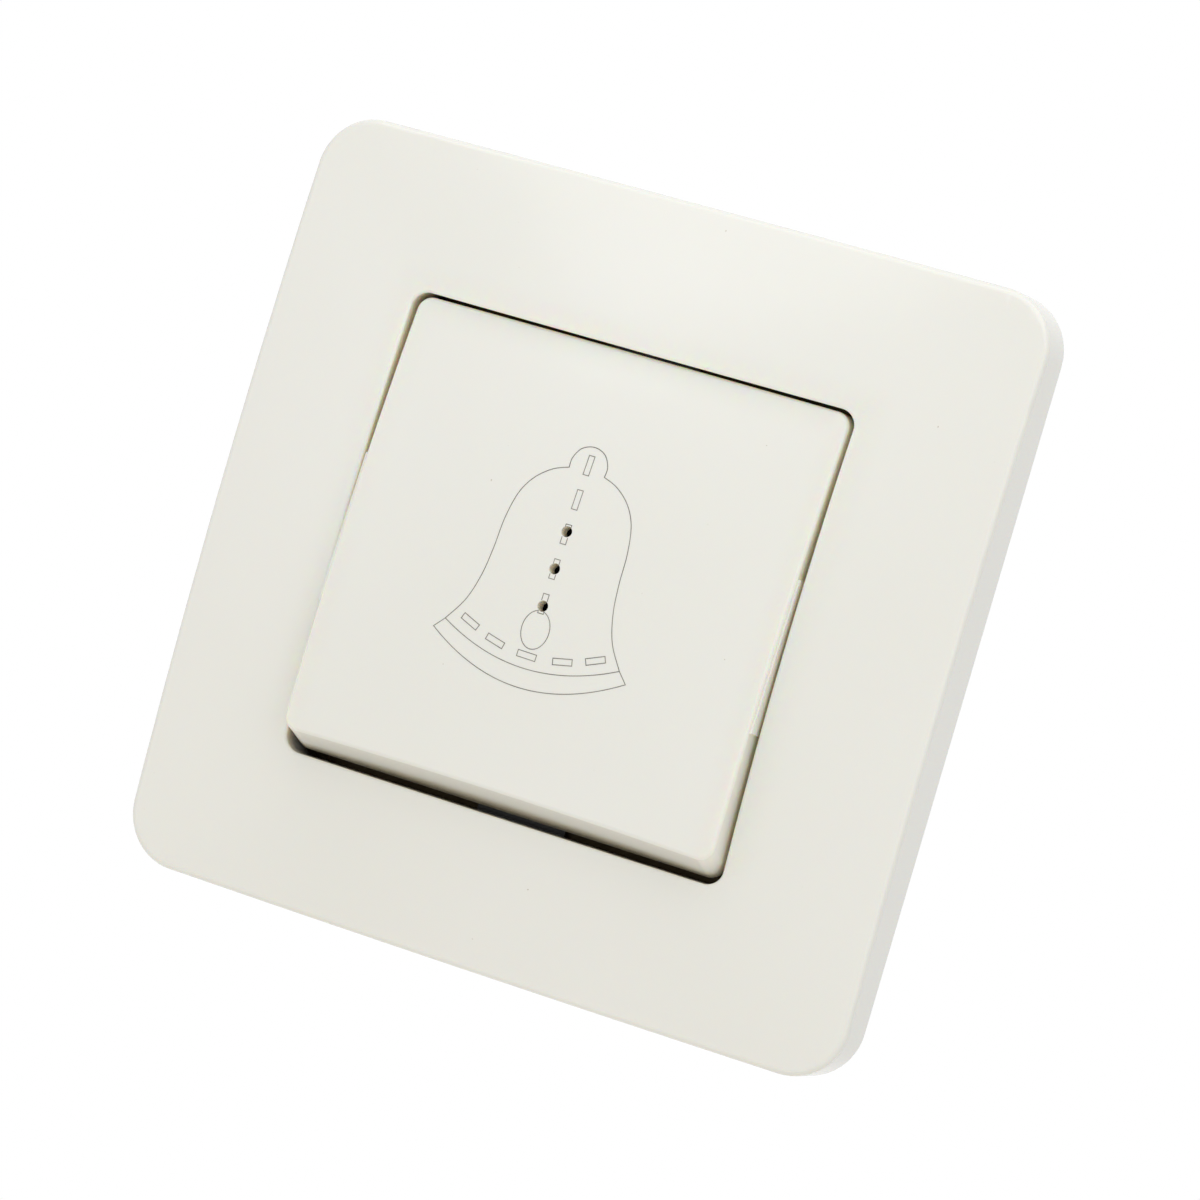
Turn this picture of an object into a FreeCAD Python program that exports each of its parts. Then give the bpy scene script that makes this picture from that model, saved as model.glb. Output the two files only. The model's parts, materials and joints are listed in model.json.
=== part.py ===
import FreeCAD, Part
import math
import os

os.makedirs("parts", exist_ok=True)

# Doorbell push button for a flush wall box: crowned cover frame, sprung rocker key and contact insert.
# Lengths are in millimetres, angles in degrees.
# Every piece is modelled lying on its back: x to the right, y up the wall, z out of the wall,
# with z = 0 on the wall. on_wall turns each one upright at the end.

V = FreeCAD.Vector

# Cover frame
frame_side = 82.0
frame_corner_r = 6.0
frame_draft = 1.0
frame_wall = 2.0
frame_edge_r = 0.8
frame_crown_centre = 12.9      # height of the crowned front, carried on over the opening
frame_crown_side = 7.4         # at the middle of a side
frame_crown_corner = 5.6       # where two sides would meet
opening_side = 49.3
opening_corner_r = 1.8
opening_edge_r = 0.3
opening_draft = 3.0            # the opening is narrowest at the front
collar_wall = 1.6
frame_rib_wall = 1.2
frame_rib_offset = 13.0
frame_rib_foot = 2.5
hook_width = 10.0
hook_play = 0.12

# Rocker key
pivot_height = 4.6
rest_tilt = 4.5                # lower edge out; pressed, the key tilts as far the other way
rocker_gap = 0.35
rocker_corner_r = 1.6
rocker_edge_r = 0.5
rocker_wall = 1.8
rocker_side_draft = 1.5
rocker_upper_draft = 3.5
rocker_lower_draft = 14.5
rocker_foot = 1.0              # heights of the key are counted from the pivot
rocker_crown_centre = 9.0
rocker_crown_side = 7.4
rocker_crown_corner = 6.2
key_rib_wall = 1.2
key_rib_foot = 5.2
key_rib_offset = 16.5
guide_pad_length = 16.0
guide_pad_proud = 0.2
guide_pad_middle = -1.4
light_hole_d = 1.15
light_hole_pitch = 3.95
light_hole_middle = 0.55

# Clip between key and cradle
leg_offset = 9.0
leg_wall = 1.4
leg_width = 7.0
leg_barb = 0.9
leg_tip = 0.2
clip_play = 0.2

# Rocker cradle
cradle_overhang = 1.5          # of the cradle's plate past its nose
cradle_corner_r = 1.5
cradle_plate_low = 1.6
cradle_plate = 1.6
cradle_cheek = 1.6
cradle_cheek_r = 3.5
lamp_window_half_x = 6.2
lamp_window_half_y = 8.8
trunnion_d = 3.9
trunnion_play = 0.07
trunnion_length = 1.9
nose_inset = 5.25              # from the tray's wall
nose_r = 1.4
nose_width = 5.0
nose_centre = -1.2
stop_offset = 9.0
stop_width = 3.0
touch_gap = 0.06

# Mounting strap
strap_inset = 5.5              # of the strap's edge from the frame's
strap_corner_r = 5.0
strap_thick = 1.0
slot_inset = 5.5               # of the slots' centres from the strap's edge: 60 mm apart
slot_length = 7.0
slot_width = 3.8
strap_hole_d = 3.2
strap_hole_inset = 7.5
seat_width = 1.1

# Housing base
base_side = 41.0
base_corner_r = 3.0
base_depth = 22.0
base_wall = 1.6
post_inset = 4.0
post_r = 2.4
screw_shank_r = 1.1
screw_length = 12.0
screw_head_r = 2.1
screw_head = 1.3
screw_slot = 0.6
thread_play = 0.05
bar_post_width = 3.0
barrier_wall = 1.2
barrier_top = -6.0
wire_hole_d = 2.8
tool_hole_r = 3.1
grip_rib = 0.5

# Housing cover
housing_fit = 0.15
tray_wall = 2.0
tray_floor = 1.5
flange_thick = 1.0
flange_inset = 2.05
lip_thick = 1.0
lip_overhang = 0.8
ear_thick = 2.05
ear_half_width = 3.4
ear_over_pivot = 2.8
ear_snap_width = 3.3
cradle_side_play = 0.3
bush_play = 0.12
bush_wall = 1.2
bush_top = 0.6
bush_stop_gap = 0.4

# Contacts
bar_width = 4.0
bar_thick = 0.8
bar_top = -14.0
tip_r = 1.5
tip_height = 0.8
contact_reserve = 0.05         # left between the tips when the key is pressed home
bridge_overhang = 1.8          # past the middle of each tip
bridge_width = 4.0
bridge_thick = 0.6
plunger_head_r = 2.8
plunger_half_x = 4.0
plunger_half_y = 3.5
plunger_window_side = 0.15
plunger_floor = 1.7
plunger_roof = 1.2
spigot_r = 1.3
spigot_length = 4.0
contact_spring_length = 3.8
contact_spring_r = 1.45
contact_spring_wire = 0.3
contact_spring_turns = 3
return_spring_r = 2.2
return_spring_wire = 0.35
return_spring_turns = 5
spring_cup_play = 0.3
spring_cup_wall = 1.0
spring_cup_height = 4.0

# Terminals
cage_half_x = 4.0
cage_length = 7.0
cage_wall = 1.0
cage_low = -13.0
cage_high = -6.5
cage_inset = 0.9
tab_overrun = 0.7
terminal_shank_r = 1.5
terminal_reach = 2.8
terminal_neck = 0.6
terminal_head_r = 2.7
terminal_head = 1.6
terminal_slot = 0.8

# Indicator lamp
lamp_r = 2.0
lamp_length = 9.0
lamp_pinch_r = 0.9
lamp_pinch = 1.2
holder_half_x = 3.2
holder_base = 1.4
saddle = 1.4
saddle_inset = 1.6
lamp_play = 0.05
lead_r = 0.3
lead_reach = 2.3
lead_drop = -7.5
lead_hole_r = 0.6
resistor_r = 1.2
resistor_lead = 0.6            # length of wire left at each end of the resistor
resistor_edge_r = 0.4

# Sizes worked out from those above
frame_half = frame_side / 2
opening_half = opening_side / 2
rocker_half = opening_half - rocker_gap
strap_half = frame_half - strap_inset
slot_offset = strap_half - slot_inset
strap_hole_offset = strap_half - strap_hole_inset
base_half = base_side / 2
base_inner = base_half - base_wall
post_offset = base_inner - post_inset
base_floor = base_wall - base_depth
cutout_half = base_half - seat_width
plug_half = base_inner - housing_fit
contact_offset = (barrier_wall / 2 + post_offset - post_r) / 2
bridge_half = contact_offset + bridge_overhang
tray_half = cutout_half - housing_fit
tray_inner = tray_half - tray_wall
nose_offset = tray_inner - nose_inset
cradle_half_length = nose_offset + cradle_overhang
flange_half = opening_half - flange_inset
lip_half = flange_half + lip_overhang
flange_top = strap_thick + flange_thick
ear_inner = tray_inner - ear_thick
cradle_half = ear_inner - cradle_side_play
cradle_plate_high = cradle_plate_low + cradle_plate
tilt_sin = math.sin(math.radians(rest_tilt))
tilt_cos = math.cos(math.radians(rest_tilt))
nose_at_rest = pivot_height + nose_offset * tilt_sin + nose_centre * tilt_cos - nose_r
stroke = 2 * nose_offset * tilt_sin
stop_centre = (touch_gap + nose_r - pivot_height + nose_offset * tilt_sin) / tilt_cos
plunger_top = nose_at_rest - touch_gap
bridge_low = bar_top + 2 * tip_height + stroke + contact_reserve
bridge_high = bridge_low + bridge_thick
window_roof = bridge_high + contact_spring_length
plunger_low = bridge_low - plunger_floor
plunger_shoulder = window_roof + plunger_roof
bush_low = plunger_shoulder + bush_stop_gap
cage_outer_y = base_inner - cage_inset
cage_inner_y = cage_outer_y - cage_length
tab_y = cage_inner_y + cage_wall
lamp_y = light_hole_middle + rocker_crown_centre * tilt_sin
lamp_z = pivot_height
resistor_right = -lead_r - resistor_lead
resistor_left = -contact_offset + lead_r + resistor_lead


def box(x0, x1, y0, y1, z0, z1):
    return Part.makeBox(x1 - x0, y1 - y0, z1 - z0, V(x0, y0, z0))


def block(half_x, half_y, z0, z1):
    return box(-half_x, half_x, -half_y, half_y, z0, z1)


def rod(radius, z0, z1, x=0.0, y=0.0):
    return Part.makeCylinder(radius, z1 - z0, V(x, y, z0))


def rod_x(radius, x0, x1, y, z):
    return Part.makeCylinder(radius, x1 - x0, V(x0, y, z), V(1, 0, 0))


def rod_y(radius, y0, y1, x, z):
    return Part.makeCylinder(radius, y1 - y0, V(x, y0, z), V(0, 1, 0))


def both_sides(shape):
    """The shape and its mirror image in the plane x = 0."""
    return [shape, shape.mirror(V(0, 0, 0), V(1, 0, 0))]


def all_sides(shape):
    """Four copies of the shape, a quarter turn apart about z."""
    copies = []
    for quarter in range(4):
        copy = shape.copy()
        copy.rotate(V(0, 0, 0), V(0, 0, 1), 90 * quarter)
        copies.append(copy)
    return copies


def joined(shape, others):
    return shape.multiFuse(others).removeSplitter()


def rounded_outline(half_x, half_y, radius, z):
    """Rectangle with round corners, centred on z."""
    inner_x = half_x - radius
    inner_y = half_y - radius
    bulge = radius * math.sqrt(0.5)
    arcs = []
    for sx, sy in ((1, 1), (-1, 1), (-1, -1), (1, -1)):
        on_side = V(sx * half_x, sy * inner_y, z)
        on_end = V(sx * inner_x, sy * half_y, z)
        middle = V(sx * (inner_x + bulge), sy * (inner_y + bulge), z)
        arcs.append((on_side, middle, on_end) if sx == sy else (on_end, middle, on_side))
    edges = []
    for i, arc in enumerate(arcs):
        edges.append(Part.Arc(*arc).toShape())
        edges.append(Part.LineSegment(arc[2], arcs[(i + 1) % 4][0]).toShape())
    return Part.Wire(edges)


def rounded_block(half_x, half_y, radius, z0, z1):
    face = Part.Face(rounded_outline(half_x, half_y, radius, z0))
    return face.extrude(V(0, 0, z1 - z0))


def above_crown(centre, side, corner, half):
    """Space over a crowned surface, given its height at the centre, mid side and corner."""
    reach = 1.1 * half
    bend = (centre - side) / half ** 2
    twist = (centre + corner - 2 * side) / half ** 4
    surface = Part.BezierSurface()
    surface.increase(2, 2)
    for i in (-1, 0, 1):
        for j in (-1, 0, 1):
            square_x = reach ** 2 if i else -reach ** 2
            square_y = reach ** 2 if j else -reach ** 2
            height = centre - bend * (square_x + square_y) + twist * square_x * square_y
            surface.setPole(i + 2, j + 2, V(i * reach, j * reach, height))
    return surface.toShape().extrude(V(0, 0, centre))


def crowned_block(half, radius, z0, drafts, crown, sink=0.0):
    """Drafted block on a rounded square foot, cut off at the crown, which is lowered by sink.

    The drafts are those of the two sides, the upper end and the lower end."""
    rise = crown[0] - z0
    side_x, upper_y, lower_y = (half - rise * math.tan(math.radians(draft)) for draft in drafts)
    foot = rounded_outline(half, half, radius, z0)
    top = rounded_outline(side_x, (upper_y + lower_y) / 2, radius, z0 + rise)
    top.translate(V(0, (upper_y - lower_y) / 2, 0))
    body = Part.makeLoft([foot, top], True, True)
    lid = above_crown(*crown)
    lid.translate(V(0, 0, -sink))
    return body.cut(lid).Solids[0]


def front_face(shape):
    return max(shape.Faces, key=lambda face: face.CenterOfMass.z)


def coil(radius, wire_r, turns, z0, z1, y):
    """Compression spring of round wire between two planes."""
    travel = z1 - z0 - 2 * wire_r
    path = Part.makeHelix(travel / turns, travel, radius)
    section = Part.Wire(Part.makeCircle(wire_r, V(radius, 0, 0), V(0, 1, 0)))
    spring = path.makePipeShell([section], True, True)
    spring.translate(V(0, y, z0 + wire_r))
    return spring


def slotted_screw(shank_r, shank, head_r, head, slot):
    """Screw that points down, with its head standing on z = 0."""
    body = rod(shank_r, -shank, 0).fuse(rod(head_r, 0, head)).removeSplitter()
    rim = [e for e in body.Edges if abs(e.BoundBox.ZMin - head) < 0.001 and e.BoundBox.ZLength < 0.001]
    body = body.makeChamfer(head / 5, rim)
    return body.cut(box(-head_r, head_r, -slot / 2, slot / 2, head / 2, head + 1))


def wire_run(points, radius):
    """Stiff wire through the points, round at its bends and flat at its ends."""
    solids = []
    for start, end in zip(points, points[1:]):
        step = end - start
        solids.append(Part.makeCylinder(radius, step.Length, start, step))
    for bend in points[1:-1]:
        solids.append(Part.makeSphere(radius, bend))
    return solids[0].multiFuse(solids[1:])


def tilted(shape):
    """A piece of the key, turned from its level pose to its rest."""
    copy = shape.copy()
    copy.rotate(V(0, 0, pivot_height), V(1, 0, 0), -rest_tilt)
    return copy


def on_wall(shape):
    """Turn a piece upright: y becomes up and z comes out of the wall along -Y."""
    copy = shape.copy()
    copy.rotate(V(0, 0, 0), V(1, 0, 0), 90)
    return copy


def opening_core(half, radius, z0):
    """Drafted block, given its half width at the height of the opening's rim."""
    bend = (frame_crown_centre - frame_crown_side) / frame_half ** 2
    rim = frame_crown_centre - bend * opening_half ** 2
    slope = math.tan(math.radians(opening_draft))
    foot_half = half + (rim - z0) * slope
    top_half = half - (frame_crown_centre - rim) * slope
    foot = rounded_outline(foot_half, foot_half, radius, z0)
    top = rounded_outline(top_half, top_half, radius, frame_crown_centre)
    return Part.makeLoft([foot, top], True, True)


def cover_frame():
    crown = (frame_crown_centre, frame_crown_side, frame_crown_corner, frame_half)
    drafts = (frame_draft, frame_draft, frame_draft)
    outer = crowned_block(frame_half, frame_corner_r, 0, drafts, crown)
    outer = outer.makeFillet(frame_edge_r, front_face(outer).Edges)
    hollow = crowned_block(frame_half - frame_wall, frame_corner_r - frame_wall, 0, drafts, crown, frame_wall)
    collar = opening_core(opening_half + collar_wall, opening_corner_r + collar_wall, strap_thick)
    rib_end = frame_half - frame_wall / 2
    rib = box(opening_half + collar_wall / 2, rib_end, frame_rib_offset - frame_rib_wall / 2,
              frame_rib_offset + frame_rib_wall / 2, frame_rib_foot, frame_crown_centre)
    low_rib = rib.mirror(V(0, 0, 0), V(0, 1, 0))
    hollow = hollow.cut([collar] + all_sides(rib) + all_sides(low_rib))
    shell = outer.cut(hollow)
    shell = shell.cut(opening_core(opening_half, opening_corner_r, 0))
    rim = min(front_face(shell).Wires, key=lambda wire: wire.BoundBox.DiagonalLength)
    shell = shell.makeFillet(opening_edge_r, rim.Edges)
    hook = box(flange_half + hook_play, opening_half + collar_wall / 2, -hook_width / 2, hook_width / 2,
               strap_thick + hook_play, flange_top - hook_play)
    return joined(shell, all_sides(hook))


def rocker_body(half, radius, foot, sink):
    crown = (pivot_height + rocker_crown_centre, pivot_height + rocker_crown_side,
             pivot_height + rocker_crown_corner, rocker_half)
    drafts = (rocker_side_draft, rocker_upper_draft, rocker_lower_draft)
    return crowned_block(half, radius, pivot_height + foot, drafts, crown, sink)


def key_ribs():
    """Stiffening ribs under the key's top, and the two that stand on the cradle."""
    top = pivot_height + rocker_crown_centre
    half_rib = key_rib_wall / 2
    ribs = []
    for offset in (-key_rib_offset, key_rib_offset):
        across = (offset - half_rib, offset + half_rib)
        ribs.append(box(-rocker_half, rocker_half, *across, pivot_height + key_rib_foot, top))
        ribs.append(box(*across, -rocker_half, rocker_half, pivot_height + key_rib_foot, top))
    seat = cradle_half - cradle_cheek
    seat_rib = box(seat - half_rib, seat + half_rib, -lamp_window_half_y, lamp_window_half_y,
                   pivot_height + cradle_plate_high, top)
    return ribs + both_sides(seat_rib)


def clip_leg():
    """Spring leg that snaps through the cradle's plate and hooks under it."""
    catch = pivot_height + cradle_plate_low - touch_gap
    tip = pivot_height + leg_tip
    outer = leg_offset + leg_wall
    half = leg_width / 2
    root = pivot_height + rocker_crown_centre - rocker_wall / 2
    leg = box(leg_offset, outer, -half, half, tip, root)
    slope = [V(outer, -half, catch), V(outer + leg_barb, -half, catch), V(outer, -half, tip)]
    barb = Part.Face(Part.makePolygon(slope + slope[:1])).extrude(V(0, leg_width, 0))
    return leg.fuse(barb)


def guide_pad():
    """Low pad on the skirt that keeps the key centred in the opening."""
    slope = math.tan(math.radians(rocker_side_draft))
    foot = pivot_height + rocker_foot
    top = pivot_height + rocker_crown_side - rocker_edge_r
    proud = rocker_half + guide_pad_proud
    deep = rocker_half - rocker_wall / 2
    outline = [V(deep, 0, foot), V(proud, 0, foot), V(proud - slope * (top - foot), 0, top), V(deep, 0, top)]
    pad = Part.Face(Part.makePolygon(outline + outline[:1])).extrude(V(0, guide_pad_length, 0))
    pad.translate(V(0, guide_pad_middle - guide_pad_length / 2, 0))
    return pad


def rocker_key():
    outer = rocker_body(rocker_half, rocker_corner_r, rocker_foot, 0)
    outer = outer.makeFillet(rocker_edge_r, front_face(outer).Edges)
    hollow = rocker_body(rocker_half - rocker_wall, rocker_corner_r / 2, rocker_foot, rocker_wall)
    key = outer.cut(hollow.cut(key_ribs()))
    key = joined(key, both_sides(clip_leg()) + both_sides(guide_pad()))
    holes = []
    for step in (-1, 0, 1):
        y = light_hole_middle + step * light_hole_pitch
        holes.append(rod(light_hole_d / 2, pivot_height, 2 * pivot_height + rocker_crown_centre, 0, y))
    return key.cut(holes)


def cradle_lug(offset, width, y, centre, high):
    """Round-ended lug under the cradle's plate."""
    lug = box(offset - width / 2, offset + width / 2, y - nose_r, y + nose_r, centre, high)
    return lug.fuse(rod_x(nose_r, offset - width / 2, offset + width / 2, y, centre))


def rocker_cradle():
    low = pivot_height + cradle_plate_low
    high = pivot_height + cradle_plate_high
    plate = rounded_block(cradle_half, cradle_half_length, cradle_corner_r, low, high)
    leg_x = leg_offset - clip_play
    leg_y = leg_width / 2 + clip_play
    openings = [block(lamp_window_half_x, lamp_window_half_y, low, high)]
    openings += both_sides(box(leg_x, leg_offset + leg_wall + clip_play, -leg_y, leg_y, low, high))
    plate = plate.cut(openings)
    cheek = box(cradle_half - cradle_cheek, cradle_half, -cradle_cheek_r, cradle_cheek_r, pivot_height, low)
    cheek = cheek.fuse(rod_x(cradle_cheek_r, cradle_half - cradle_cheek, cradle_half, 0, pivot_height)
                       .common(block(cradle_half, cradle_cheek_r, 0, low)))
    trunnion = rod_x(trunnion_d / 2, cradle_half - cradle_cheek / 2, cradle_half + cradle_side_play
                     + trunnion_length, 0, pivot_height)
    lugs = [cradle_lug(0, nose_width, -nose_offset, pivot_height + nose_centre, low)]
    for y in (-nose_offset, nose_offset):
        lugs += both_sides(cradle_lug(stop_offset, stop_width, y, pivot_height + stop_centre, low))
    return joined(plate, both_sides(cheek) + both_sides(trunnion) + lugs)


def mounting_strap():
    plate = rounded_block(strap_half, strap_half, strap_corner_r, 0, strap_thick)
    half_slot = slot_length / 2
    slot = rounded_block(half_slot, slot_width / 2, slot_width / 2 - 0.001, 0, strap_thick)
    cuts = [rounded_block(cutout_half, cutout_half, base_corner_r, 0, strap_thick)]
    for x, y in ((1, 0), (-1, 0), (0, 1), (0, -1)):
        cut = slot.copy()
        cut.translate(V(x * slot_offset, y * slot_offset, 0))
        cuts.append(cut)
    corner_hole = rod(strap_hole_d / 2, 0, strap_thick, strap_hole_offset, strap_hole_offset)
    return plate.cut(cuts + all_sides(corner_hole))


def bearing_ear():
    """Upright ear with the trunnion's bore and the snap slot over it."""
    top = pivot_height + ear_over_pivot
    ear = box(ear_inner, tray_inner, -ear_half_width, ear_half_width, 0, top)
    bore = rod_x(trunnion_d / 2 + trunnion_play, ear_inner, tray_inner, 0, pivot_height)
    snap = box(ear_inner, tray_inner, -ear_snap_width / 2, ear_snap_width / 2, pivot_height, top)
    return ear.cut([bore, snap])


def housing_cover():
    """Tray that sinks through the strap, carries the cradle and guides the plunger."""
    floor = rounded_block(plug_half, plug_half, base_corner_r - base_wall / 2, -tray_floor, 0)
    wall = rounded_block(tray_half, tray_half, base_corner_r, 0, strap_thick)
    flange = rounded_block(flange_half, flange_half, base_corner_r, strap_thick, flange_top)
    lip = rounded_block(lip_half, lip_half, base_corner_r, flange_top, flange_top + lip_thick)
    ring = joined(wall, [flange, lip])
    ring = ring.cut(rounded_block(tray_inner, tray_inner, base_corner_r / 2, 0, flange_top + lip_thick))
    bush_inner = plunger_head_r + bush_play
    bush = rod(bush_inner + bush_wall, bush_low, bush_top, 0, -nose_offset)
    tray = joined(floor, [ring, bush] + both_sides(bearing_ear()))
    cuts = [rod(bush_inner, bush_low, bush_top, 0, -nose_offset)]
    for y in (lamp_y - lamp_length / 2 - lead_reach, lamp_y + lamp_length / 2 + lead_reach):
        cuts.append(rod(lead_hole_r, -tray_floor, 0, 0, y))
    cuts += all_sides(rod(screw_shank_r + thread_play, -tray_floor, 0, post_offset, post_offset))
    return tray.cut(cuts)


def housing_base():
    outer = rounded_block(base_half, base_half, base_corner_r, -base_depth, 0)
    bottom = [e for e in outer.Edges if e.BoundBox.ZMax < 0.001 - base_depth]
    outer = outer.makeChamfer(1.0, bottom)
    hollow = rounded_block(base_inner, base_inner, base_corner_r - base_wall / 2, base_floor, 0)
    post = rod(post_r, base_floor, -tray_floor, post_offset, post_offset)
    bar_low = bar_top - bar_thick
    half_post = bar_post_width / 2
    bar_posts = []
    for y in (-nose_offset, tab_y - bar_post_width):
        bar_posts.append(box(contact_offset - half_post, contact_offset + half_post,
                             y - half_post, y + half_post, base_floor, bar_low))
    cup_inner = return_spring_r + return_spring_wire + spring_cup_play
    cup = rod(cup_inner + spring_cup_wall, base_floor, base_floor + spring_cup_height, 0, -nose_offset)
    cup = cup.cut(rod(cup_inner, base_floor, base_floor + spring_cup_height, 0, -nose_offset))
    barrier = box(-barrier_wall / 2, barrier_wall / 2, cage_inner_y, base_inner + base_wall / 2,
                  base_floor - base_wall / 2, barrier_top)
    grips = []
    for y in (-2, -1, 0, 1, 2):
        grip = box(base_half - grip_rib, base_half + grip_rib, 5 * y - grip_rib, 5 * y + grip_rib,
                   3 - base_depth, -3)
        grips += both_sides(grip)
    mirrored_posts = [both_sides(part)[1] for part in bar_posts]
    body = joined(outer.cut(hollow), all_sides(post) + bar_posts + mirrored_posts + [cup, barrier] + grips)
    cuts = all_sides(rod(screw_shank_r + thread_play, thread_play - screw_length - 1, -tray_floor,
                         post_offset, post_offset))
    wire_y = tab_y + bar_thick + wire_hole_d / 2
    cuts += both_sides(rod(wire_hole_d / 2, -base_depth, base_floor, contact_offset, wire_y))
    cage_middle = (cage_low + cage_high) / 2
    cuts += both_sides(rod_y(tool_hole_r, base_inner, base_half, contact_offset, cage_middle))
    return body.cut(cuts)


def housing_screws():
    screw = slotted_screw(screw_shank_r, screw_length, screw_head_r, screw_head, screw_slot)
    screw.translate(V(post_offset, post_offset, 0))
    return Part.Compound(all_sides(screw))


def contact_plunger():
    """Pusher with a round head, a window for the bridge and a spigot for its spring."""
    head = rod(plunger_head_r, plunger_shoulder, plunger_top)
    crest = [e for e in head.Edges if e.BoundBox.ZMin > plunger_top - 0.001]
    head = head.makeChamfer(plunger_head_r / 5, crest)
    body = block(plunger_half_x, plunger_half_y, plunger_low, plunger_shoulder)
    window_y = bridge_width / 2 + plunger_window_side
    window = block(plunger_half_x, window_y, bridge_low, window_roof)
    spigot = rod(spigot_r, plunger_low - spigot_length, plunger_low)
    plunger = joined(body.cut(window), [head, spigot])
    plunger.translate(V(0, -nose_offset, 0))
    return plunger


def contact_bridge():
    strip = block(bridge_half, bridge_width / 2, bridge_low, bridge_high)
    ends = [e for e in strip.Edges if e.BoundBox.ZLength > bridge_thick / 2]
    strip = strip.makeFillet(bridge_width / 4, ends)
    strip.translate(V(0, -nose_offset, 0))
    return strip


def contact_tips(z0):
    tip = rod(tip_r, z0, z0 + tip_height, contact_offset, -nose_offset)
    return Part.Compound(both_sides(tip))


def fixed_contact():
    """Right-hand contact bar: flat under the tip, then bent up into its terminal."""
    start = -nose_offset - bar_width / 2
    x0 = contact_offset - bar_width / 2
    x1 = contact_offset + bar_width / 2
    flat = box(x0, x1, start, tab_y + bar_thick, bar_top - bar_thick, bar_top)
    tab = box(x0, x1, tab_y, tab_y + bar_thick, bar_top - bar_thick, cage_high + tab_overrun)
    bar = flat.fuse(tab).removeSplitter()
    outside_bend = [e for e in bar.Edges if abs(e.CenterOfMass.y - tab_y - bar_thick) < 0.001
                    and abs(e.CenterOfMass.z - bar_top + bar_thick) < 0.001]
    return bar.makeFillet(bar_thick / 2, outside_bend)


def terminal_cage():
    """Right-hand wire clamp: a square tube hung on the contact's tab, tapped for its screw."""
    half = cage_half_x
    tube = box(-half, half, cage_inner_y, cage_outer_y, cage_low, cage_high)
    bore = box(cage_wall - half, half - cage_wall, cage_inner_y + cage_wall, cage_outer_y - cage_wall,
               cage_low, cage_high)
    upright = [e for e in tube.Edges if e.BoundBox.ZLength > cage_wall]
    tube = tube.makeFillet(cage_wall / 2, upright).cut(bore)
    tube = tube.cut(rod_y(terminal_shank_r + thread_play, cage_outer_y - cage_wall, cage_outer_y, 0,
                          (cage_low + cage_high) / 2))
    tube.translate(V(contact_offset, 0, 0))
    return tube


def terminal_screws():
    screw = slotted_screw(terminal_shank_r, terminal_neck + cage_wall + terminal_reach,
                          terminal_head_r, terminal_head, terminal_slot)
    screw.rotate(V(0, 0, 0), V(1, 0, 0), -90)
    screw.translate(V(contact_offset, cage_outer_y + terminal_neck, (cage_low + cage_high) / 2))
    return Part.Compound(both_sides(screw))


def return_spring():
    return coil(return_spring_r, return_spring_wire, return_spring_turns, base_floor, plunger_low,
                -nose_offset)


def contact_spring():
    return coil(contact_spring_r, contact_spring_wire, contact_spring_turns, bridge_high, window_roof,
                -nose_offset)


def lamp_holder():
    """Foot on the tray with two saddles that the lamp lies in."""
    start = lamp_y - lamp_length / 2 + saddle_inset
    end = lamp_y + lamp_length / 2 - saddle_inset
    foot = box(-holder_half_x, holder_half_x, start, end, 0, holder_base)
    low_saddle = box(-holder_half_x, holder_half_x, start, start + saddle, 0, lamp_z)
    high_saddle = box(-holder_half_x, holder_half_x, end - saddle, end, 0, lamp_z)
    return joined(foot, [low_saddle, high_saddle]).cut(rod_y(lamp_r + lamp_play, start, end, 0, lamp_z))


def indicator_lamp():
    """Glass tube with pinched ends."""
    start = lamp_y - lamp_length / 2
    body_length = lamp_length - 2 * lamp_pinch
    cone = Part.makeCone(lamp_pinch_r, lamp_r, lamp_pinch, V(0, start, lamp_z), V(0, 1, 0))
    tube = rod_y(lamp_r, start + lamp_pinch, start + lamp_pinch + body_length, 0, lamp_z)
    far_cone = cone.mirror(V(0, lamp_y, 0), V(0, 1, 0))
    return tube.multiFuse([cone, far_cone])


def lamp_resistor():
    y = lamp_y + lamp_length / 2 + lead_reach
    body = rod_x(resistor_r, resistor_left, resistor_right, y, lead_drop)
    return body.makeFillet(resistor_edge_r, body.Edges)


def lamp_leads():
    """Three stiff wires: lamp to right bar, lamp to resistor, resistor to left bar."""
    low_end = lamp_y - lamp_length / 2
    high_end = lamp_y + lamp_length / 2
    low_y = low_end - lead_reach
    high_y = high_end + lead_reach
    right = wire_run([V(0, low_end, lamp_z), V(0, low_y, lamp_z), V(0, low_y, lead_drop),
                      V(contact_offset, low_y, lead_drop), V(contact_offset, low_y, bar_top)], lead_r)
    middle = wire_run([V(0, high_end, lamp_z), V(0, high_y, lamp_z), V(0, high_y, lead_drop),
                       V(resistor_right, high_y, lead_drop)], lead_r)
    left = wire_run([V(resistor_left, high_y, lead_drop),
                     V(-contact_offset, high_y, lead_drop), V(-contact_offset, high_y, bar_top)], lead_r)
    return Part.Compound([right, middle, left])


contact_right, contact_left = both_sides(fixed_contact())
cage_right, cage_left = both_sides(terminal_cage())

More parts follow.
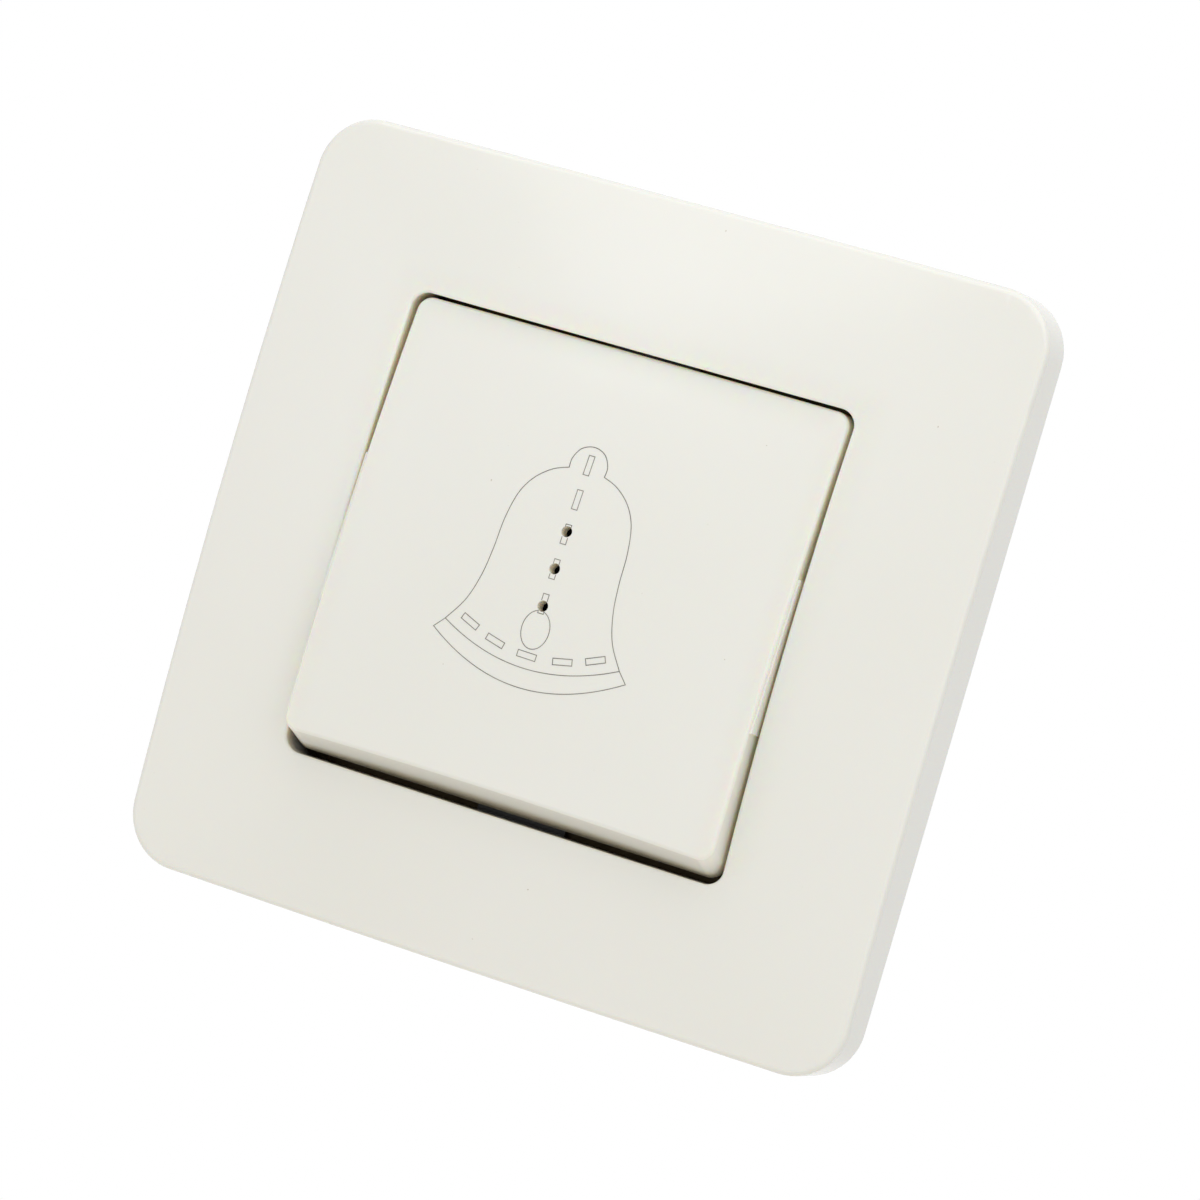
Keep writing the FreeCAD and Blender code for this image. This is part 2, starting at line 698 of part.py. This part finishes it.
nodes = {
    "cover_frame": cover_frame(),
    "rocker_key": tilted(rocker_key()),
    "rocker_cradle": tilted(rocker_cradle()),
    "mounting_strap": mounting_strap(),
    "housing_cover": housing_cover(),
    "housing_base": housing_base(),
    "housing_screws": housing_screws(),
    "contact_plunger": contact_plunger(),
    "contact_bridge": contact_bridge(),
    "bridge_tips": contact_tips(bridge_low - tip_height),
    "contact_spring": contact_spring(),
    "return_spring": return_spring(),
    "fixed_contact_right": contact_right,
    "fixed_contact_left": contact_left,
    "fixed_tips": contact_tips(bar_top),
    "terminal_cage_right": cage_right,
    "terminal_cage_left": cage_left,
    "terminal_screws": terminal_screws(),
    "lamp_holder": lamp_holder(),
    "indicator_lamp": indicator_lamp(),
    "lamp_resistor": lamp_resistor(),
    "lamp_leads": lamp_leads(),
}

for name, shape in nodes.items():
    on_wall(shape).exportStep("parts/" + name + ".step")
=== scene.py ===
import json
import math

import bmesh
import bpy
from mathutils import Matrix, Vector

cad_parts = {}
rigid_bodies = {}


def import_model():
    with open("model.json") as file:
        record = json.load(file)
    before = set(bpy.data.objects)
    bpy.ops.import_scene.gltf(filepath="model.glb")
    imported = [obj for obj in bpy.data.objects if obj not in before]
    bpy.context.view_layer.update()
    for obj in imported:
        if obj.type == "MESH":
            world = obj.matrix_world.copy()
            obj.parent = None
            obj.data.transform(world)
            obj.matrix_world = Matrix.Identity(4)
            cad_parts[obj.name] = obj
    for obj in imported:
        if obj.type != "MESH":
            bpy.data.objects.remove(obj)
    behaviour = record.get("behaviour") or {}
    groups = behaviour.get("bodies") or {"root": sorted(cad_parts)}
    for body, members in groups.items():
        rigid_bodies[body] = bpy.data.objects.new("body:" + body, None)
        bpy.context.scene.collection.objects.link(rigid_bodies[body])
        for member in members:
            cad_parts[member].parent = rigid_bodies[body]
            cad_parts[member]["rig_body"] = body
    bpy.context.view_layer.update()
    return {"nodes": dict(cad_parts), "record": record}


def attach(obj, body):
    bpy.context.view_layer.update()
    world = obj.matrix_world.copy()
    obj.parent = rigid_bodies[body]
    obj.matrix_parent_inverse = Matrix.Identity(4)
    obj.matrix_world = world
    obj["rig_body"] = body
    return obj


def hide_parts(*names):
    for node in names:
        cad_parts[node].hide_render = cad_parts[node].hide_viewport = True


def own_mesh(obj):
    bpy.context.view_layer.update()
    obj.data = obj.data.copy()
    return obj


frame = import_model()

MM = 0.001

# Shape of the key's face, in millimetres from the pivot, as the key lies at rest
PIVOT_HEIGHT = 4.6
REST_TILT = math.radians(4.5)
KEY_HALF = 24.3
KEY_CROWN = (9.0, 7.4, 6.2)

# Bell figure: x to the right and y up on the key's face, in millimetres
BELL_WAIST = [(-1.97, 10.85), (-3.6, 10.2), (-5.2, 8.85), (-6.3, 6.9), (-6.85, 4.05),
              (-7.0, 0.9), (-7.35, -2.1), (-8.2, -4.95), (-9.75, -7.4)]
BELL_LOOP = [(-1.97, 10.85), (-1.95, 11.9), (-1.3, 13.05), (-0.02, 13.5), (1.25, 13.05),
             (1.95, 11.9), (1.97, 10.85)]
BELL_RIM_OUT = (10.75, -8.5)
BELL_RIM_SAG = 3.45
BELL_BAND = (9.75, -7.4)
BELL_BAND_SAG = 2.55
CLAPPER_CENTRE = (0.0, -5.9)
CLAPPER_HALF = (1.5, 2.0)
AXIS_DASHES = (11.56, 7.89, 4.21, 0.52, -3.15)
AXIS_DASH = (0.62, 2.05)
RIM_DASHES = ((-7.0, -7.0, -22), (-3.8, -8.15, -14), (-0.1, -8.62, -1), (3.75, -8.2, 12),
              (7.05, -7.1, 23))
RIM_DASH = (2.05, 0.66)
LIGHT_HOLES = (4.5, 0.55, -3.4)
LIGHT_HOLE_R = 0.575

# Printed line of the bell figure, in millimetres
INK_WIDTH = 0.085
INK_LIFT = 0.008
INK_STEP = 0.25
INK_SHORTEST = 1e-9

# Steps of its curves from one point to the next, and of a whole arc
CURVE_STEPS = 14
ARC_STEPS = 48

# Plastic beside the gap round the key that lets more light in: where this sets in and where it
# ends, across and up from the key's middle, and the heights over which it sets in from below
RIM_INNER = (21.5 * MM, 23.5 * MM)
RIM_OUTER = (25.5 * MM, 28.0 * MM)
RIM_LOWER = (-24.5 * MM, -21.5 * MM)

# Heights between which the painted brown shade of the gap under the key fades out upwards
LOW_GAP = (-24.0 * MM, -22.0 * MM)

# Half width of the space inside the frame's opening, and the depths between which painted shade
# sets in on the faces in it, from none to full
OPENING_REACH = 25.7 * MM
PLASTIC_PAINTED_SHADE = (-6.0 * MM, -3.5 * MM)
STEEL_PAINTED_SHADE = (-0.4 * MM, -0.8 * MM)

# How far, and with how many rays, a face looks for walls that stand close
OPEN_DISTANCE = 3.0 * MM
OPEN_RAYS = 8

# Ends of the resistor's body, along x
RESISTOR_BODY = (-5.65 * MM, -0.90 * MM)

# Pieces with large glossy faces, and how their normals are worked out
SMOOTHED = ("cover_frame", "rocker_key")
WELD = 0.0005 * MM
SHARP_ANGLE = math.radians(32)
LARGE_FACE_WEIGHT = 100

# Camera: its places in metres, its lens and sensor in millimetres
CAMERA_AT = (0.1533, -0.4373, 0.0117)
CAMERA_AIM = (0.0047, -0.0110, -0.0005)
CAMERA_ROLL = math.radians(16.30)
CAMERA_LENS = 134.23
CAMERA_SENSOR = 36.0

# Softboxes: name, place and size in metres, power in watts, colour, and whether gloss mirrors them
SOFTBOXES = [
    ("top_softbox", (0.10, -0.42, 0.70), (1.4, 1.0), 5.5, (0.97, 0.985, 1.0), True),
    ("right_softbox", (0.70, -0.55, 0.10), (0.6, 0.7), 0.8, (1.0, 0.995, 0.985), True),
    ("left_softbox", (-0.65, -0.45, -0.05), (0.5, 0.6), 0.4, (1.0, 0.97, 0.93), True),
    ("low_softbox", (0.0, -0.28, -0.66), (0.9, 0.6), 1.65, (1.0, 0.95, 0.86), False),
]

# White that is seen, light that the world casts, and the floor in metres
WHITE = (1.0, 1.0, 1.0, 1.0)
SEEN_STRENGTH = 1.0
CAST_STRENGTH = 0.53
FLOOR_HALF = 0.45
FLOOR_HEIGHT = -0.8


# Shader nodes

def new_material(name):
    """A material with its node tree and its shader."""
    material = bpy.data.materials.new(name)
    material.use_nodes = True
    tree = material.node_tree
    shader = next(n for n in tree.nodes if n.type == "BSDF_PRINCIPLED")
    return material, tree, shader


def srgb(red, green, blue):
    """Linear colour of a red, green and blue given from 0 to 255."""
    channels = []
    for value in (red, green, blue):
        share = value / 255
        channels.append(share / 12.92 if share < 0.04045 else ((share + 0.055) / 1.055) ** 2.4)
    return tuple(channels)


def node(tree, kind, **inputs):
    """Adds a shader node and sets its inputs by name."""
    made = tree.nodes.new(kind)
    for key, value in inputs.items():
        made.inputs[key.replace("_", " ")].default_value = value
    return made


def place_on_part(tree):
    """The point's place in the row frame at rest."""
    return tree.nodes.new("ShaderNodeTexCoord").outputs["Object"]


def across_deep_up(tree):
    """The point's x, y and z in the row frame at rest, as outputs X, Y and Z."""
    split = tree.nodes.new("ShaderNodeSeparateXYZ")
    tree.links.new(place_on_part(tree), split.inputs["Vector"])
    return split.outputs


def noise(tree, scale, detail=3.0):
    made = node(tree, "ShaderNodeTexNoise", Scale=scale, Detail=detail)
    tree.links.new(place_on_part(tree), made.inputs["Vector"])
    return made.outputs["Fac"]


def ramp(tree, source, stops, blend="LINEAR"):
    """Colour ramp over source; stops are (position, colour)."""
    made = tree.nodes.new("ShaderNodeValToRGB")
    bar = made.color_ramp
    bar.interpolation = blend
    while len(bar.elements) < len(stops):
        bar.elements.new(0.5)
    for element, (position, colour) in zip(bar.elements, stops):
        element.position = position
        element.color = (*colour, 1.0)
    tree.links.new(source, made.inputs["Fac"])
    return made.outputs["Color"]


def ranged(tree, source, low, high, start=0.3, end=0.7):
    """Runs from low to high as source goes from start to end, and stays level outside them."""
    made = node(tree, "ShaderNodeMapRange", From_Min=start, From_Max=end, To_Min=low, To_Max=high)
    tree.links.new(source, made.inputs["Value"])
    return made.outputs["Result"]


def mixed(tree, share, plain, other):
    """The plain colour, with a share of the other one."""
    mix = node(tree, "ShaderNodeMix")
    mix.data_type = "RGBA"
    tree.links.new(share, mix.inputs["Factor"])
    tree.links.new(plain, mix.inputs["A"])
    mix.inputs["B"].default_value = (*other, 1.0)
    return mix.outputs["Result"]


def arithmetic(tree, operation, *sources):
    """Math node over its sources, each a socket or a number."""
    made = tree.nodes.new("ShaderNodeMath")
    made.operation = operation
    for socket, source in zip(made.inputs, sources):
        if isinstance(source, float):
            socket.default_value = source
        else:
            tree.links.new(source, socket)
    return made.outputs["Value"]


def bump(tree, source, strength, distance):
    made = node(tree, "ShaderNodeBump", Strength=strength, Distance=distance)
    tree.links.new(source, made.inputs["Height"])
    return made.outputs["Normal"]


# Where a material changes

def openness(tree):
    """1 on open faces, falling to 0 where other walls stand close all round."""
    shade = node(tree, "ShaderNodeAmbientOcclusion", Distance=OPEN_DISTANCE)
    shade.samples = OPEN_RAYS
    return shade.outputs["AO"]


def rim_share(tree):
    """1 beside the gap round the key, falling to 0 a few millimetres away and at its lower side."""
    place = across_deep_up(tree)
    across = arithmetic(tree, "ABSOLUTE", place["X"])
    reach = arithmetic(tree, "MAXIMUM", across, place["Z"])
    inner = ranged(tree, reach, 0.0, 1.0, *RIM_INNER)
    outer = ranged(tree, reach, 1.0, 0.0, *RIM_OUTER)
    above = ranged(tree, place["Z"], 0.0, 1.0, *RIM_LOWER)
    band = arithmetic(tree, "MULTIPLY", inner, outer)
    return arithmetic(tree, "MULTIPLY", band, above)


def painted_shade_share(tree, unshaded, shaded_deep):
    """Share of painted shade: 0 at y = unshaded and 1 at y = shaded_deep, inside the frame's
    opening only.
    """
    place = across_deep_up(tree)
    across = arithmetic(tree, "ABSOLUTE", place["X"])
    upright = arithmetic(tree, "ABSOLUTE", place["Z"])
    reach = arithmetic(tree, "MAXIMUM", across, upright)
    inside = arithmetic(tree, "LESS_THAN", reach, OPENING_REACH)
    deep = ranged(tree, place["Y"], 0.0, 1.0, unshaded, shaded_deep)
    return arithmetic(tree, "MULTIPLY", inside, deep)


# Materials

def ivory_colour(tree):
    """Even warm white with flow clouds and fine dust, painted warm light in the gaps, painted brown
    shade in the gap under the key and painted dark shade deeper behind them.
    """
    clouds = [(0.35, srgb(238, 237, 230)), (0.65, srgb(236, 235, 227))]
    painted_glow = srgb(255, 247, 226)
    painted_brown_shade = srgb(84, 72, 54)
    # Painted shade: near black on faces deep inside the frame's opening
    deep_shade = srgb(30, 25, 18)
    dust = srgb(196, 188, 170)
    tone = ramp(tree, noise(tree, scale=22.0, detail=2.0), clouds)
    open_share = openness(tree)
    # Painted light: a warm pale tint on faces where other walls stand close, in the gaps round the
    # key
    in_gap = ranged(tree, open_share, 1.0, 0.0, start=0.15, end=0.6)
    glowing = mixed(tree, in_gap, tone, painted_glow)
    # Painted shade: brown on faces where other walls stand close all round, in the gap under the
    # key
    low = ranged(tree, across_deep_up(tree)["Z"], 1.0, 0.0, *LOW_GAP)
    closed = ranged(tree, open_share, 1.0, 0.0, start=0.04, end=0.2)
    shaded = mixed(tree, arithmetic(tree, "MULTIPLY", low, closed), glowing, painted_brown_shade)
    # Painted shade on the faces deep inside the frame's opening
    shaded_deep = mixed(tree, painted_shade_share(tree, *PLASTIC_PAINTED_SHADE), shaded, deep_shade)
    specks = ranged(tree, noise(tree, scale=1700.0, detail=1.0), 0.0, 0.8, start=0.83, end=0.86)
    return mixed(tree, specks, shaded_deep, dust)


def ivory_plastic():
    """Glossy moulded plastic that lets more light in beside the gap round the key."""
    material, tree, shader = new_material("ivory_plastic")
    roughness = ranged(tree, noise(tree, scale=60.0, detail=4.0), 0.16, 0.22)
    waviness = bump(tree, noise(tree, scale=240.0, detail=2.0), strength=0.05, distance=0.06 * MM)
    translucence = ranged(tree, rim_share(tree), 0.15, 1.0, start=0.0, end=1.0)
    tree.links.new(ivory_colour(tree), shader.inputs["Base Color"])
    tree.links.new(roughness, shader.inputs["Roughness"])
    tree.links.new(waviness, shader.inputs["Normal"])
    tree.links.new(translucence, shader.inputs["Subsurface Weight"])
    shader.inputs["Subsurface Radius"].default_value = (1.0, 0.62, 0.3)
    shader.inputs["Subsurface Scale"].default_value = 1.4 * MM
    shader.inputs["IOR"].default_value = 1.5
    return material


def satin_plastic(name, tones, grain, rough):
    """Moulded plastic with a fine spark-eroded grain."""
    material, tree, shader = new_material(name)
    light, dark = tones
    tone = ramp(tree, noise(tree, scale=45.0, detail=4.0), [(0.35, dark), (0.65, light)])
    roughness = ranged(tree, noise(tree, scale=120.0), rough - 0.06, rough + 0.06)
    texture = bump(tree, noise(tree, scale=grain, detail=2.0), strength=0.35, distance=0.04 * MM)
    tree.links.new(tone, shader.inputs["Base Color"])
    tree.links.new(roughness, shader.inputs["Roughness"])
    tree.links.new(texture, shader.inputs["Normal"])
    return material


def drawn_streaks(tree, stretch):
    """Fine streaks, longest along the axis with the smallest stretch."""
    mapping = node(tree, "ShaderNodeMapping", Scale=stretch)
    streaks = node(tree, "ShaderNodeTexNoise", Scale=700.0, Detail=3.0)
    tree.links.new(place_on_part(tree), mapping.inputs["Vector"])
    tree.links.new(mapping.outputs["Vector"], streaks.inputs["Vector"])
    return streaks.outputs["Fac"]


def drawn_metal(name, tones, rough, stretch, painted_shade=None):
    """Metal with drawn streaks and a cloudy surface, and any painted shade deep under the frame's
    opening.
    """
    material, tree, shader = new_material(name)
    light, dark = tones
    streaks = drawn_streaks(tree, stretch)
    tone = ramp(tree, noise(tree, scale=70.0, detail=5.0), [(0.3, dark), (0.7, light)])
    # Painted shade on the faces deep under the frame's opening
    if painted_shade:
        tone = mixed(tree, painted_shade_share(tree, *STEEL_PAINTED_SHADE), tone, painted_shade)
    roughness = ranged(tree, streaks, rough - 0.08, rough + 0.1)
    texture = bump(tree, streaks, strength=0.2, distance=0.02 * MM)
    tree.links.new(tone, shader.inputs["Base Color"])
    tree.links.new(roughness, shader.inputs["Roughness"])
    tree.links.new(texture, shader.inputs["Normal"])
    shader.inputs["Metallic"].default_value = 1.0
    return material


def lamp_glass():
    """Clear glass tube with slightly smoky patches."""
    material, tree, shader = new_material("lamp_glass")
    smoke = [(0.4, srgb(250, 246, 238)), (0.7, srgb(236, 226, 206))]
    tone = ramp(tree, noise(tree, scale=160.0), smoke)
    roughness = ranged(tree, noise(tree, scale=300.0), 0.03, 0.08)
    tree.links.new(tone, shader.inputs["Base Color"])
    tree.links.new(roughness, shader.inputs["Roughness"])
    shader.inputs["Transmission Weight"].default_value = 0.85
    shader.inputs["IOR"].default_value = 1.5
    return material


def resistor_paint():
    """Lacquered body with colour rings across its length."""
    material, tree, shader = new_material("resistor_paint")
    body = srgb(206, 178, 128)
    red = srgb(150, 60, 30)
    black = srgb(40, 36, 34)
    yellow = srgb(215, 165, 40)
    gold = srgb(196, 160, 70)
    rings = [(0.0, body), (0.2, red), (0.28, body), (0.38, black), (0.46, body),
             (0.56, yellow), (0.64, body), (0.8, gold), (0.88, body)]
    along = ranged(tree, across_deep_up(tree)["X"], 0.0, 1.0, *RESISTOR_BODY)
    roughness = ranged(tree, noise(tree, scale=400.0), 0.28, 0.4)
    tree.links.new(ramp(tree, along, rings, blend="CONSTANT"), shader.inputs["Base Color"])
    tree.links.new(roughness, shader.inputs["Roughness"])
    return material


def bell_ink():
    """Thin grey pad print with slightly uneven cover."""
    material, tree, shader = new_material("bell_ink")
    cover = [(0.3, srgb(118, 115, 108)), (0.7, srgb(150, 147, 139))]
    tone = ramp(tree, noise(tree, scale=500.0), cover)
    roughness = ranged(tree, noise(tree, scale=200.0), 0.4, 0.55)
    tree.links.new(tone, shader.inputs["Base Color"])
    tree.links.new(roughness, shader.inputs["Roughness"])
    return material


def stage_paper():
    """Matt pale paper."""
    material, tree, shader = new_material("stage_paper")
    clouds = [(0.3, (0.80, 0.80, 0.79)), (0.7, (0.83, 0.83, 0.82))]
    tree.links.new(ramp(tree, noise(tree, scale=6.0), clouds), shader.inputs["Base Color"])
    shader.inputs["Roughness"].default_value = 0.85
    return material


def slot_materials():
    """A material for every slot in the record, with tones given as light and dark."""
    nylon = (srgb(232, 231, 224), srgb(222, 220, 211))
    grey = (srgb(186, 188, 188), srgb(172, 174, 175))
    steel = (srgb(206, 208, 210), srgb(176, 179, 182))
    warm_steel = (srgb(214, 208, 190), srgb(188, 182, 162))
    wire = (srgb(190, 192, 194), srgb(150, 152, 155))
    brass = (srgb(226, 190, 112), srgb(196, 158, 84))
    bronze = (srgb(214, 160, 106), srgb(184, 128, 80))
    silver = (srgb(232, 230, 226), srgb(206, 204, 200))
    # Painted shade: dark brown on the strap's face deep under the frame's opening
    painted_shade = srgb(58, 50, 36)
    return {
        "ivory_plastic": ivory_plastic(),
        "white_nylon": satin_plastic("white_nylon", nylon, grain=1500.0, rough=0.42),
        "grey_plastic": satin_plastic("grey_plastic", grey, grain=1800.0, rough=0.5),
        "zinc_steel": drawn_metal("zinc_steel", steel, rough=0.34, stretch=(1.0, 1.0, 0.05),
                                  painted_shade=painted_shade),
        "screw_steel": drawn_metal("screw_steel", warm_steel, rough=0.3, stretch=(0.2, 1.0, 1.0)),
        "spring_steel": drawn_metal("spring_steel", wire, rough=0.28, stretch=(1.0, 0.3, 1.0)),
        "brass": drawn_metal("brass", brass, rough=0.27, stretch=(1.0, 0.08, 1.0)),
        "bronze": drawn_metal("bronze", bronze, rough=0.3, stretch=(0.08, 1.0, 1.0)),
        "silver": drawn_metal("silver", silver, rough=0.24, stretch=(1.0, 1.0, 1.0)),
        "tinned_wire": drawn_metal("tinned_wire", silver, rough=0.36, stretch=(0.3, 1.0, 1.0)),
        "lamp_glass": lamp_glass(),
        "resistor_paint": resistor_paint(),
    }


def dress_nodes():
    """Gives every carried-over CAD piece its material."""
    made = slot_materials()
    for part in frame["record"]["subparts"]:
        piece = frame["nodes"][part["node"]]
        piece["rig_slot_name"] = part["material_slot"]
        piece.data.materials.clear()
        piece.data.materials.append(made[part["material_slot"]])


# Pieces that replace a CAD piece

def linked_object(name, data):
    """A new object, linked to the scene."""
    made = bpy.data.objects.new(name, data)
    bpy.context.scene.collection.objects.link(made)
    return made


def smooth_copy(name):
    """The same piece with its normals worked out again, so that large soft faces shade evenly."""
    source = frame["nodes"][name]
    mesh = source.data.copy()
    mesh.name = name + "_smooth"
    normals = mesh.attributes.get("custom_normal")
    if normals:
        mesh.attributes.remove(normals)
    copy = linked_object(name + "_smooth", mesh)
    work = bmesh.new()
    work.from_mesh(mesh)
    bmesh.ops.remove_doubles(work, verts=work.verts, dist=WELD)
    work.to_mesh(mesh)
    work.free()
    mesh.polygons.foreach_set("use_smooth", [True] * len(mesh.polygons))
    mesh.set_sharp_from_angle(angle=SHARP_ANGLE)
    weighting = copy.modifiers.new("weighting", "WEIGHTED_NORMAL")
    weighting.keep_sharp = True
    weighting.weight = LARGE_FACE_WEIGHT
    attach(copy, source["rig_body"])
    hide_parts(name)
    return copy


def springy_copy(name):
    """The same spring, with its normals worked out again, on a mesh of its own."""
    spring = smooth_copy(name)
    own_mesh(spring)


# Bell figure

def on_key(x, y, lift=0.0):
    """Point of the key's face in the row frame, from its own x and y in millimetres."""
    centre, side, corner = KEY_CROWN
    bend = (centre - side) / KEY_HALF ** 2
    twist = (centre + corner - 2 * side) / KEY_HALF ** 4
    out = centre - bend * (x * x + y * y) + twist * x * x * y * y + lift
    up = y * math.cos(REST_TILT) + out * math.sin(REST_TILT)
    away = PIVOT_HEIGHT - y * math.sin(REST_TILT) + out * math.cos(REST_TILT)
    return Vector((x, -away, up)) * MM


def smooth_line(points):
    """Catmull-Rom curve through the points."""
    padded = [points[0]] + list(points) + [points[-1]]
    line = []
    for p0, p1, p2, p3 in zip(padded, padded[1:], padded[2:], padded[3:]):
        for i in range(CURVE_STEPS):
            t = i / CURVE_STEPS
            line.append(tuple(0.5 * (2 * b + (c - a) * t + (2 * a - 5 * b + 4 * c - d) * t * t
                                     + (3 * b - a - 3 * c + d) * t ** 3)
                              for a, b, c, d in zip(p0, p1, p2, p3)))
    return line + [points[-1]]


def sagging(half, y, sag):
    """Arc that hangs between (-half, y) and (half, y)."""
    line = []
    for i in range(ARC_STEPS + 1):
        x = half * (2 * i / ARC_STEPS - 1)
        line.append((x, y - sag * (1 - (x / half) ** 2)))
    return line


def turned_rectangle(centre, size, degrees):
    """Closed outline of a dash, turned about its centre."""
    turn = math.radians(degrees)
    corners = []
    for sx, sy in ((1, 1), (-1, 1), (-1, -1), (1, -1), (1, 1)):
        dx = sx * size[0] / 2
        dy = sy * size[1] / 2
        corners.append((centre[0] + dx * math.cos(turn) - dy * math.sin(turn),
                        centre[1] + dx * math.sin(turn) + dy * math.cos(turn)))
    return corners


def clapper():
    """Closed oval of the clapper."""
    line = []
    for i in range(ARC_STEPS + 1):
        turn = math.tau * i / ARC_STEPS
        line.append((CLAPPER_CENTRE[0] + CLAPPER_HALF[0] * math.sin(turn),
                     CLAPPER_CENTRE[1] + CLAPPER_HALF[1] * math.cos(turn)))
    return line


def mirrored(line):
    return [(-x, y) for x, y in line]


def bell_lines():
    """Every printed line of the bell: waist, loop, band, rim, clapper and the dashes on them."""
    waist = smooth_line(BELL_WAIST)
    flare = [BELL_BAND, BELL_RIM_OUT]
    lines = [waist, mirrored(waist), smooth_line(BELL_LOOP),
             sagging(*BELL_BAND, BELL_BAND_SAG), sagging(*BELL_RIM_OUT, BELL_RIM_SAG),
             flare, mirrored(flare), clapper()]
    for y in AXIS_DASHES:
        lines.append(turned_rectangle((0.0, y), AXIS_DASH, 0.0))
    for x, y, turn in RIM_DASHES:
        lines.append(turned_rectangle((x, y), RIM_DASH, turn))
    return lines


def in_a_hole(x, y):
    return any(math.hypot(x, y - hole) < LIGHT_HOLE_R + INK_WIDTH for hole in LIGHT_HOLES)


def resampled(line):
    """The same line cut into short even steps."""
    points = [line[0]]
    for (x0, y0), (x1, y1) in zip(line, line[1:]):
        count = max(1, math.ceil(math.hypot(x1 - x0, y1 - y0) / INK_STEP))
        for i in range(1, count + 1):
            points.append((x0 + (x1 - x0) * i / count, y0 + (y1 - y0) * i / count))
    return points


def ink_ribbon(line, vertices, faces):
    """Adds one printed line as a flat ribbon that follows the crowned face."""
    points = resampled(line)
    half = INK_WIDTH / 2
    for (x0, y0), (x1, y1) in zip(points, points[1:]):
        middle = ((x0 + x1) / 2, (y0 + y1) / 2)
        length = math.hypot(x1 - x0, y1 - y0)
        if length < INK_SHORTEST or in_a_hole(*middle):
            continue
        ax = (x1 - x0) / length * half
        ay = (y1 - y0) / length * half
        first = len(vertices)
        vertices.append(on_key(x0 - ax - ay, y0 - ay + ax, INK_LIFT))
        vertices.append(on_key(x0 - ax + ay, y0 - ay - ax, INK_LIFT))
        vertices.append(on_key(x1 + ax + ay, y1 + ay - ax, INK_LIFT))
        vertices.append(on_key(x1 + ax - ay, y1 + ay + ax, INK_LIFT))
        faces.append((first, first + 1, first + 2, first + 3))


def bell_figure():
    """The printed bell, which rides with the key."""
    vertices = []
    faces = []
    for line in bell_lines():
        ink_ribbon(line, vertices, faces)
    mesh = bpy.data.meshes.new("bell_figure")
    mesh.from_pydata(vertices, [], faces)
    mesh.update()
    figure = linked_object("bell_figure", mesh)
    mesh.materials.append(bell_ink())
    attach(figure, "key")


# Stage

def add_camera():
    """Camera at the photograph's angle, rolled about its line of sight."""
    aim = Vector(CAMERA_AIM)
    place = Vector(CAMERA_AT)
    ahead = (aim - place).normalized()
    level = ahead.cross(Vector((0, 0, 1))).normalized()
    upright = level.cross(ahead)
    right = math.cos(CAMERA_ROLL) * level + math.sin(CAMERA_ROLL) * upright
    up = right.cross(ahead)
    turned = Matrix((right, up, -ahead)).transposed().to_4x4()
    data = bpy.data.cameras.new("camera")
    data.lens = CAMERA_LENS
    data.sensor_width = CAMERA_SENSOR
    camera = linked_object("camera", data)
    camera.matrix_world = Matrix.Translation(place) @ turned
    bpy.context.scene.camera = camera


def add_softbox(name, place, size, power, colour, in_gloss):
    """Rectangular lamp that faces the origin."""
    data = bpy.data.lights.new(name, "AREA")
    data.shape = "RECTANGLE"
    data.size, data.size_y = size
    data.energy = power
    data.color = colour
    light = linked_object(name, data)
    light.location = place
    light.rotation_euler = (-Vector(place)).to_track_quat("-Z", "Y").to_euler()
    light.visible_glossy = in_gloss


def add_world():
    """White to the eye, in reflections and through glass, and a soft even light on the object."""
    world = bpy.data.worlds.new("studio")
    world.use_nodes = True
    tree = world.node_tree
    tree.nodes.clear()
    seen = node(tree, "ShaderNodeBackground", Color=WHITE, Strength=SEEN_STRENGTH)
    cast = node(tree, "ShaderNodeBackground", Color=WHITE, Strength=CAST_STRENGTH)
    path = tree.nodes.new("ShaderNodeLightPath").outputs
    direct = arithmetic(tree, "MAXIMUM", path["Is Camera Ray"], path["Is Glossy Ray"])
    shown = arithmetic(tree, "MAXIMUM", direct, path["Is Transmission Ray"])
    mix = tree.nodes.new("ShaderNodeMixShader")
    out = tree.nodes.new("ShaderNodeOutputWorld")
    tree.links.new(shown, mix.inputs["Fac"])
    tree.links.new(cast.outputs["Background"], mix.inputs[1])
    tree.links.new(seen.outputs["Background"], mix.inputs[2])
    tree.links.new(mix.outputs["Shader"], out.inputs["Surface"])
    bpy.context.scene.world = world


def add_floor():
    """Plain pale floor, below the object and the lowest softbox."""
    corners = [(x * FLOOR_HALF, y * FLOOR_HALF, FLOOR_HEIGHT)
               for x, y in ((-1, -1), (1, -1), (1, 1), (-1, 1))]
    mesh = bpy.data.meshes.new("floor")
    mesh.from_pydata(corners, [], [(0, 1, 2, 3)])
    floor = linked_object("floor", mesh)
    mesh.materials.append(stage_paper())


def add_stage():
    add_camera()
    add_world()
    add_floor()
    for softbox in SOFTBOXES:
        add_softbox(*softbox)
    bpy.context.scene.view_settings.view_transform = "Standard"


dress_nodes()
for soft_piece in SMOOTHED:
    smooth_copy(soft_piece)
springy_copy("return_spring")
bell_figure()
add_stage()
